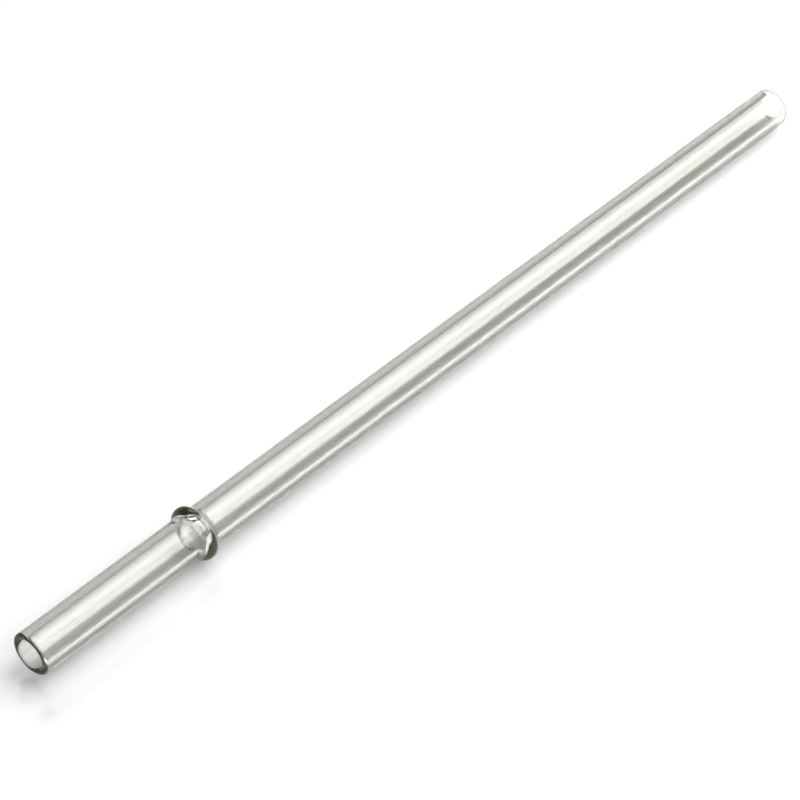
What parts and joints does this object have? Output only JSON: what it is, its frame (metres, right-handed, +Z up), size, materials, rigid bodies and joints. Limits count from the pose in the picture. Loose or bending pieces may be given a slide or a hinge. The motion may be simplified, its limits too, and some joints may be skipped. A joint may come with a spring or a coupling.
{
  "type": "glass tube with stop ring",
  "caption": "Straight clear glass tube with a fused stop ring that parts a short hose end from a long barrel, both ends open and fire-polished.",
  "frame": {"origin": "on the tube's axis, in the middle plane of the stop ring", "axes": "+X along the axis towards the barrel's open end, -X towards the hose end, +Z up when the tube lies down"},
  "size_m": [0.3, 0.0154, 0.0154],
  "materials": {
    "clear_glass": "clear, glossy, fire-polished"
  },
  "bodies": {
    "root": {"hose_tube": "clear_glass", "stop_ring": "clear_glass", "barrel_tube": "clear_glass"}
  },
  "joints": []
}
